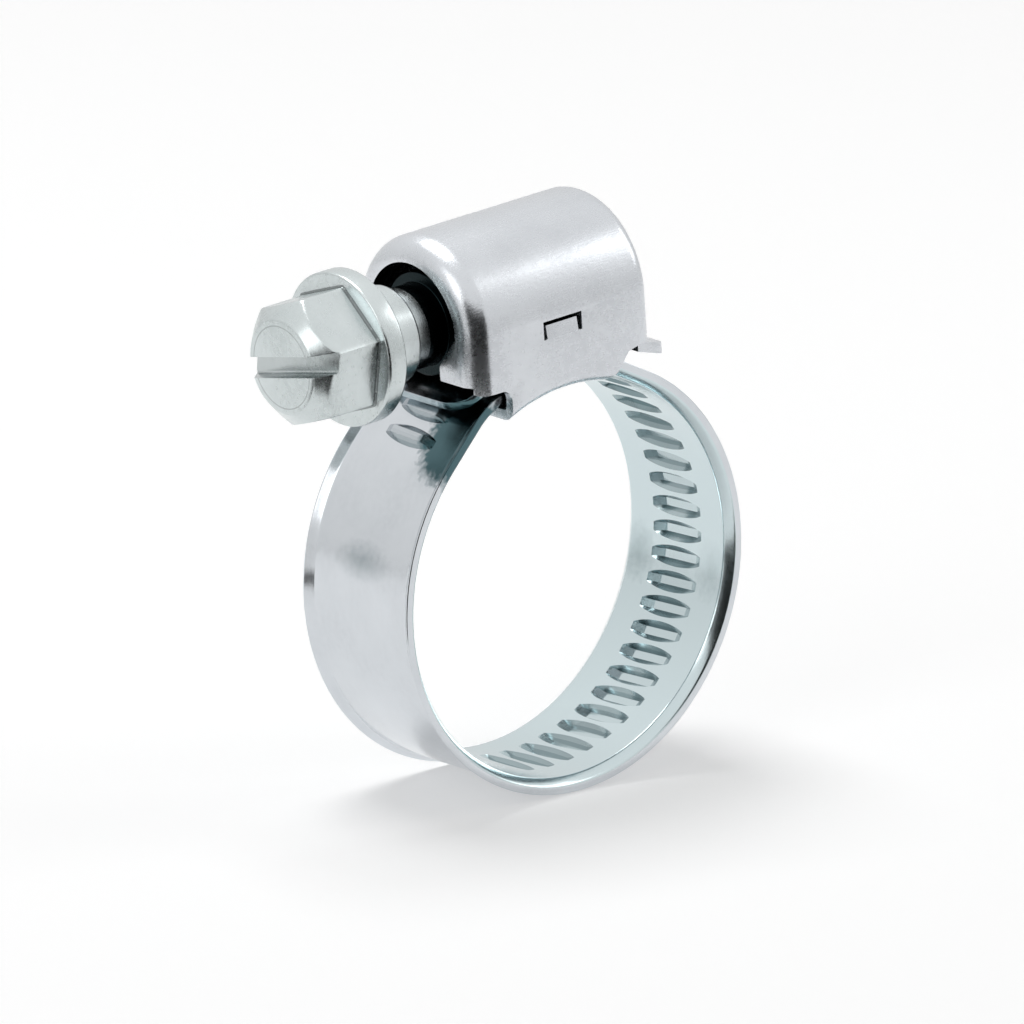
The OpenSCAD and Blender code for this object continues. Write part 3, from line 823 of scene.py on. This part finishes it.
# %% Painted shade on the upper ribs, and the band's place in the frame
UPPER_RIB_SHADE, MOST_RIB_SHADE, UNSHADED = 0.55, 0.92, 0.05
# painted shade that grows with height on the right side of the ring
for face, share in zip(band.data.polygons, band.data.attributes["shade_and_dirt_share"].data):
    middle = face.center / MM
    if share.value > UNSHADED and middle.x > 0 and middle.z > 0:
        share.value = min(MOST_RIB_SHADE, share.value + UPPER_RIB_SHADE * middle.z / BORE_R)
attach(band, "clip")
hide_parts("band")

# %% [markdown]
# ## The screw
# Everything on the screw is a distance from its axis: the hexagon, the round flange, the
# shank and the journal. So one grid of rings makes the whole screw, and each ring may be
# round or hexagonal. Where the end chamfer meets the flats, the smaller of the two distances
# wins, and a soft minimum leaves the edge slightly worn. Extra rings on the shank, the neck
# and the face divide them finely enough to carry painted shade and the dirt of the tool mark,
# which change along the way.

# %% Rings of the screw
SCREW_Z, AROUND = 15.75, 192
HEAD_FRONT, FACE_R, CHAMFER_RISE = -16.5, 2.7, 0.95
HEX_FLAT, HEX_TURN = 6.8 / 2, math.radians(-18.5)
HEX_FOOT = ((-0.16, 0), (-0.05, 0.03), (0, 0.14))
CONE_STEPS = np.concatenate([np.linspace(0.03, 1.5, 26), [2.2, 3.0]])
FLANGE_FRONT, FLANGE_T, FLANGE_R = -12.4, 1.3, 4.45
FLANGE_BACK, FLANGE_INNER_R = FLANGE_FRONT + FLANGE_T, 4.15
SHANK_R, SHANK_END, NECK_R = 2.85, -8.7, 2.4
END_GAP = 0.1
COLLAR_FRONT, COLLAR_T, COLLAR_R = HOUSE_FRONT + (SHEET + END_GAP), 0.9, 3.0
CREST_R, ROOT_R, CORE_R = 2.603, 2.203, 2.1
WORM_FRONT, WORM_REAR = -4.95, 4.5
SHOULDER_R, SHOULDER, JOURNAL_R = 2.0, 5.45, 1.6
JOURNAL_END, JOURNAL_TIP_R = HOUSE_REAR + 0.2, 0.5
EDGE_WEAR, CORNER_STEPS = 0.09, 5
FACE_LINE = (2.34, 2.41)
FACE_RINGS = (0.9, 1.8, *FACE_LINE, FACE_R - 0.06)
STRETCH_STEP = 0.1
STRETCHES = (
    (SHANK_R, FLANGE_BACK + 0.3, SHANK_END - 0.2),
    (NECK_R, SHANK_END + 0.2, COLLAR_FRONT - 0.1),
)
around = np.linspace(0, 2 * math.pi, AROUND, endpoint=False) + HEX_TURN


def softer(a, b, soft=EDGE_WEAR):
    """The smaller of two distances, eased where they meet."""
    return (a + b - np.sqrt((a - b) ** 2 + soft**2)) / 2


sector = math.pi / 3
from_flat = np.abs((around - HEX_TURN) % sector - sector / 2)
hexagon = softer(HEX_FLAT / np.cos(from_flat), HEX_FLAT / np.cos(sector - from_flat))


def rounded(points):
    """A turned outline from (x, r, rounding) corners, with each corner made a curve."""
    out = [points[0][:2]]
    for before, (x, r, rounding), after in zip(points, points[1:-1], points[2:]):
        here = np.array((x, r))
        a, b = np.array(before[:2]) - here, np.array(after[:2]) - here
        start = here + a / np.linalg.norm(a) * rounding
        end = here + b / np.linalg.norm(b) * rounding
        for t in np.linspace(0, 1, CORNER_STEPS):
            out.append(tuple((1 - t) ** 2 * start + 2 * t * (1 - t) * here + t**2 * end))
    return out + [points[-1][:2]]


def with_stretch(outline, radius, start, end):
    """The outline with extra points along a cylinder of it, clear of the rounded corners."""
    extra = [(x, radius) for x in np.arange(start, end, STRETCH_STEP)]
    at = next(k for k, (x, r) in enumerate(outline) if x > start)
    return outline[:at] + extra + outline[at:]


def screw_rings():
    """Every ring as (x, distances round it), from the face of the head to the journal."""
    rings = [(HEAD_FRONT, r + 0 * around) for r in FACE_RINGS]
    for x in CONE_STEPS:
        rings.append((HEAD_FRONT + x, softer(FACE_R + x / CHAMFER_RISE, hexagon)))
    rings += [(FLANGE_FRONT + x, hexagon + wider) for x, wider in HEX_FOOT]
    outline = rounded([
        (FLANGE_FRONT, FLANGE_INNER_R, 0), (FLANGE_FRONT, FLANGE_R, 0.16),
        (FLANGE_BACK, FLANGE_R, 0.18), (FLANGE_BACK, SHANK_R, 0.22),
        (SHANK_END, SHANK_R, 0.18), (SHANK_END, NECK_R, 0.1),
        (COLLAR_FRONT, NECK_R, 0.08), (COLLAR_FRONT, COLLAR_R, 0.1),
        (COLLAR_FRONT + COLLAR_T, COLLAR_R, 0.1), (COLLAR_FRONT + COLLAR_T, CORE_R, 0.1),
        (WORM_REAR, CORE_R, 0.04), (WORM_REAR, SHOULDER_R, 0.04), (SHOULDER, SHOULDER_R, 0.1),
        (SHOULDER, JOURNAL_R, 0.08), (JOURNAL_END, JOURNAL_R, 0.18),
        (JOURNAL_END, JOURNAL_TIP_R, 0),
    ])
    for stretch in STRETCHES:
        outline = with_stretch(outline, *stretch)
    return rings + [(x, r + 0 * around) for x, r in outline[1:]]


def lathe(name, rings):
    """A closed shape from rings round the screw's axis, with a point at each end."""
    points, faces = [], []
    for x, r in rings:
        points.append(
            np.stack([x + 0 * r, r * np.cos(around), SCREW_Z + r * np.sin(around)], 1)
        )
    count = len(rings)
    for k in range(count - 1):
        here, there = k * AROUND, (k + 1) * AROUND
        for i in range(AROUND):
            j = (i + 1) % AROUND
            faces.append((here + i, there + i, there + j, here + j))
    tips = [(rings[0][0], 0, SCREW_Z), (rings[-1][0], 0, SCREW_Z)]
    first, last = count * AROUND, (count - 1) * AROUND
    for i in range(AROUND):
        j = (i + 1) % AROUND
        faces += [(first, i, j), (first + 1, last + j, last + i)]
    return mesh_object(name, np.concatenate(points + [tips]), faces)


screw = lathe("zinc_screw_body", screw_rings())
face_out(screw)

# %% [markdown]
# The slot is cut with a boolean. The cutter is a prism between two copies of one outline, and
# the slits in the housing are cut in the same way later. Then a narrow bevel takes the
# sharpness off every edge of the screw.

# %% Cut the slot
SLOT_W, SLOT_DEPTH, SLOT_TURN, SLOT_ROUND = 1.2, 1.2, math.radians(-11.5), 0.12
SLOT_OUT, SLOT_REACH, SLOT_ARC = -1.0, 6, np.linspace(0.3, math.pi / 2, 4)
WORN_EDGE, WORN_ANGLE = 0.05, 50


def prism(name, first, second):
    """A closed shape between two loops with the same number of points."""
    n = len(first)
    faces = [(i, (i + 1) % n, n + (i + 1) % n, n + i) for i in range(n)]
    faces += [tuple(range(n))[::-1], tuple(range(n, 2 * n))]
    return mesh_object(name, [*first, *second], faces)


def slot_cutter():
    """A bar across the head, with rounded lower corners, turned as the slot stands."""
    half, low = SLOT_W / 2, SLOT_DEPTH
    side = [(SLOT_OUT, half), (low - SLOT_ROUND, half)]
    side += [
        (low - SLOT_ROUND * (1 - math.sin(a)), half - SLOT_ROUND * (1 - math.cos(a)))
        for a in SLOT_ARC
    ]
    outline = side + [(d, -w) for d, w in reversed(side)]
    along = Vector((0, math.cos(SLOT_TURN), math.sin(SLOT_TURN)))
    across = Vector((0, -math.sin(SLOT_TURN), math.cos(SLOT_TURN)))
    ends = [
        [Vector((HEAD_FRONT + d, 0, SCREW_Z)) + along * end + across * w for d, w in outline]
        for end in (-SLOT_REACH, SLOT_REACH)
    ]
    return prism("slot_cutter", *ends)


def apply_modifiers(thing):
    """Keeps the result of an object's modifiers as its plain mesh."""
    mesh = modified_mesh(thing)
    thing.modifiers.clear()
    thing.data = mesh


def cut_away(thing, cutter):
    """Takes the cutter's shape out of an object, and deletes the cutter."""
    face_out(cutter)
    cut = thing.modifiers.new("cut", "BOOLEAN")
    cut.operation, cut.solver, cut.object = "DIFFERENCE", "EXACT", cutter
    apply_modifiers(thing)
    bpy.data.objects.remove(cutter)


def bevel(thing, width, angle, segments=2):
    """Rounds the edges that are sharper than the angle."""
    modifier = thing.modifiers.new("worn edges", "BEVEL")
    modifier.width, modifier.segments = width * MM, segments
    modifier.limit_method, modifier.angle_limit = "ANGLE", math.radians(angle)
    modifier.use_clamp_overlap = True
    apply_modifiers(thing)


cut_away(screw, slot_cutter())
bevel(screw, WORN_EDGE, WORN_ANGLE)
face_out(screw)
dress(screw, screw_zinc)
smooth(screw, angle=32)

# %% [markdown]
# The parts of the screw inside the housing's mouth get full painted shade. Outside it the
# shank and the neck get painted shade that grows toward the mouth and on their lower and far
# side. Painted shade also lies in the slot and at the foot of the hexagon, and a little real
# dirt in the ring-shaped tool mark on the face. The rule gives each face its share by where
# its middle is.

# %% Painted shade on the screw, and dirt in the tool mark
MOUTH_X = -7.7
SHANK_SHADE, FOOT_SHADE, LINE_DIRT, SLOT_SHADE = 0.95, 0.6, 0.3, 0.22
FOOT_FROM, FOOT_TO = FLANGE_FRONT - 0.12, FLANGE_FRONT - 0.01
SLOT_FROM, SLOT_TO, SLOT_ASIDE = HEAD_FRONT + 0.1, HEAD_FRONT + SLOT_DEPTH + 0.05, 0.04
FACE_DEPTH = 0.01
LOW_TILT, LOW_RISE, MOUTH_SHADE, LOW_MOUTH_SHADE, LOW_SIDE_SHADE = 0.5, 0.6, 0.2, 1.3, 0.1


def shank_shade(middle):
    """Painted shade: more near the mouth, and more on the lower side and the far side of the shank.
    """
    reach = (middle.x - FLANGE_BACK) / (MOUTH_X - FLANGE_BACK)
    low = 0.5 - (middle.z - SCREW_Z - LOW_TILT * middle.y) / SHANK_R * LOW_RISE
    low = min(max(low, 0), 1)
    return SHANK_SHADE * min(1, reach**3 * (MOUTH_SHADE + LOW_MOUTH_SHADE * low) + LOW_SIDE_SHADE * low)


def screw_shade_and_dirt(middle, _normal):
    """The share of painted shade on the screw, and of dirt in the tool mark, by the place of
    a face's middle.
    """
    # inside the housing's mouth: full painted shade
    if middle.x > MOUTH_X:
        return 1.0
    if middle.x > FLANGE_BACK:
        return shank_shade(middle)
    # painted shade in the corner at the foot of the hexagon
    if FOOT_FROM < middle.x < FOOT_TO:
        return FOOT_SHADE
    from_axis = math.hypot(middle.y, middle.z - SCREW_Z)
    if middle.x < HEAD_FRONT + FACE_DEPTH and FACE_LINE[0] < from_axis < FACE_LINE[1]:
        return LINE_DIRT
    # painted shade in the slot
    across = middle.z - SCREW_Z - math.tan(SLOT_TURN) * middle.y
    in_slot = SLOT_FROM < middle.x < SLOT_TO and abs(across) < SLOT_W / 2 + SLOT_ASIDE
    return SLOT_SHADE if in_slot else 0.0


darken_faces(screw, screw_shade_and_dirt)
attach(screw, "screw")
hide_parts("screw")

# %% [markdown]
# The worm is one thread wound round the core, so its distance from the axis follows a rule:
# it depends on how far along and how far round a point is. That suits Geometry Nodes. A flat
# grid is rolled into a tube, and each point stands at the crest, on a flank or at the root.

# %% Worm thread
CREST_SHARE, ROOT_SHARE = 1 / 6, 11 / 18
WORM_RINGS, WORM_ROUND, WORM_SHADE = 230, 60, 0.85
FIRST_RING, LAST_RING, MERGE_REACH = 0.0001, 0.9999, 1e-6


def worm_tree():
    """The first and the last ring are drawn in to the axis, which closes the tube."""
    tree = Tree("wind the worm")
    rings = tree.size("Rings", WORM_RINGS, "NodeSocketInt")
    sides = tree.size("Points round", WORM_ROUND + 1, "NodeSocketInt")
    start = tree.size("Start", WORM_FRONT * MM)
    length = tree.size("Length", (WORM_REAR - WORM_FRONT) * MM)
    pitch = tree.size("Pitch", RIB_PITCH * MM)
    crest = tree.size("Crest radius", CREST_R * MM)
    root = tree.size("Root radius", ROOT_R * MM)
    first = tree.size("Crest below the axis at", worm_mesh_x * MM)
    axis = tree.size("Height of the axis", SCREW_Z * MM)
    grid = tree.add("GeometryNodeMeshGrid", {"Vertices X": rings, "Vertices Y": sides})
    place = tree.add("GeometryNodeInputPosition").outputs[0]
    flat = tree.add("ShaderNodeSeparateXYZ", {0: place}).outputs
    along = tree.math("ADD", flat["X"], 0.5)
    turn = tree.math("MULTIPLY", tree.math("ADD", flat["Y"], 0.5), 2 * math.pi)
    x = tree.math("MULTIPLY_ADD", along, length, start)
    wound = tree.math("DIVIDE", tree.math("SUBTRACT", x, first), pitch)
    round_share = tree.math("DIVIDE", tree.math("ADD", turn, math.pi / 2), 2 * math.pi)
    phase = tree.math("SUBTRACT", wound, round_share)
    from_crest = tree.math("PINGPONG", phase, 0.5)
    height = tree.add(
        "ShaderNodeMapRange",
        {"Value": from_crest, 1: CREST_SHARE / 2, 2: ROOT_SHARE / 2, 3: crest, 4: root},
    ).outputs[0]
    past_first = tree.math("GREATER_THAN", along, FIRST_RING)
    before_last = tree.math("LESS_THAN", along, LAST_RING)
    radius = tree.math("MULTIPLY", height, tree.math("MULTIPLY", past_first, before_last))
    y = tree.math("MULTIPLY", radius, tree.math("COSINE", turn))
    z = tree.math("MULTIPLY_ADD", radius, tree.math("SINE", turn), axis)
    rolled = tree.add("ShaderNodeCombineXYZ", {"X": x, "Y": y, "Z": z}).outputs[0]
    tube = tree.add("GeometryNodeSetPosition", {"Geometry": grid.outputs[0], "Position": rolled})
    closed = tree.add(
        "GeometryNodeMergeByDistance", {"Geometry": tube.outputs[0], "Distance": MERGE_REACH}
    )
    tree.finish(closed.outputs[0])
    return tree


def route_x(distance):
    """Where along the screw the sheet is, at a distance from the fixed end."""
    return float(np.interp(distance, np.linspace(0, ROUTE_LENGTH, len(route_points)),
                           [p[0] for p in route_points]))


worm_mesh_x = route_x(ROUTE_LENGTH - TAIL_PLAIN - 2 * RIB_PITCH) + RIB_PITCH / 2
worm = mesh_object("worm_start", [(0, 0, 0)], [])
worm = worm_tree().run(worm, "zinc_worm", screw_zinc)
face_out(worm)
smooth(worm, angle=40)
# the worm sits inside the housing, so it gets painted shade
darken_faces(worm, lambda middle, normal: WORM_SHADE)
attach(worm, "screw")

# %% [markdown]
# ## The housing
# The housing is one folded sheet. Its CAD solid has the right form but knife-sharp edges, so
# a copy of it gets merged corners, its flat triangles are joined into whole faces, and every
# edge of the sheet is rounded a little, as a punch and a tumbling drum leave it. The slit
# round the tab is cut wider first. Painted shade covers all faces that look toward the screw
# from inside the housing.

# %% Housing
TAB_X, TAB_LEN, TAB_TOP, TAB_H, SLIT = -0.45, 2.8, SCREW_Z, 1.05, 0.27
HOUSE_HALF = 5.25
CUT_MARGIN, CUT_FOOT, CUT_INSIDE, CUT_OUTSIDE = 0.002, 0.02, 0.35, 0.3
SAME_POINT, TINY_EDGE, FLAT_ANGLE = 1e-7, 4e-6, math.radians(1.2)
SHEET_EDGE, EDGE_ANGLE, EDGE_SEGMENTS = 0.07, 30, 3
INSIDE_SHADE, OUTER_ROOM, ENDWAYS = 0.95, 0.3, 0.5


def open_slits(thing):
    """The punch leaves a wider slit round each lanced tab than the sheet's drawing says."""
    left, right = TAB_X - TAB_LEN / 2 - CUT_MARGIN, TAB_X + TAB_LEN / 2 + CUT_MARGIN
    foot, top = TAB_TOP - TAB_H + CUT_FOOT, TAB_TOP + CUT_MARGIN
    outline = [
        (left, foot), (left + SLIT, foot), (left + SLIT, top - SLIT), (right - SLIT, top - SLIT),
        (right - SLIT, foot), (right, foot), (right, top), (left, top),
    ]
    for side in (-1, 1):
        ys = (side * (HOUSE_HALF - SHEET - CUT_INSIDE), side * (HOUSE_HALF + CUT_OUTSIDE))
        cut_away(thing, prism("slit_cutter", *([(x, y, z) for x, z in outline] for y in ys)))


def sheet_copy(node_name, name):
    """A copy of a CAD node made of sheet, with whole faces and rounded edges."""
    thing = bpy.data.objects.new(name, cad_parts[node_name].data.copy())
    bpy.context.scene.collection.objects.link(thing)
    weld = bmesh.new()
    weld.from_mesh(thing.data)
    bmesh.ops.remove_doubles(weld, verts=weld.verts, dist=SAME_POINT)
    weld.to_mesh(thing.data)
    weld.free()
    face_out(thing)
    open_slits(thing)
    face_out(thing)
    shape = bmesh.new()
    shape.from_mesh(thing.data)
    bmesh.ops.remove_doubles(shape, verts=shape.verts, dist=TINY_EDGE)
    bmesh.ops.dissolve_degenerate(shape, edges=shape.edges, dist=TINY_EDGE)
    bmesh.ops.dissolve_limit(
        shape, angle_limit=FLAT_ANGLE, verts=shape.verts, edges=shape.edges
    )
    shape.to_mesh(thing.data)
    shape.free()
    bevel(thing, SHEET_EDGE, EDGE_ANGLE, EDGE_SEGMENTS)
    face_out(thing)
    return thing


def inner_shade(middle, normal):
    """Painted shade on faces that look toward the screw's axis, from inside the sheet."""
    out = Vector((0, middle.y, max(middle.z - SCREW_Z, 0)))
    within = out.length < HOUSE_HALF - OUTER_ROOM and abs(normal.x) < ENDWAYS
    return INSIDE_SHADE * float(within and out.dot(normal) < 0)


housing = sheet_copy("housing", "zinc_housing_sheet")
dress(housing, housing_zinc)
smooth(housing, angle=30)
darken_faces(housing, inner_shade)
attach(housing, "clip")
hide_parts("housing")
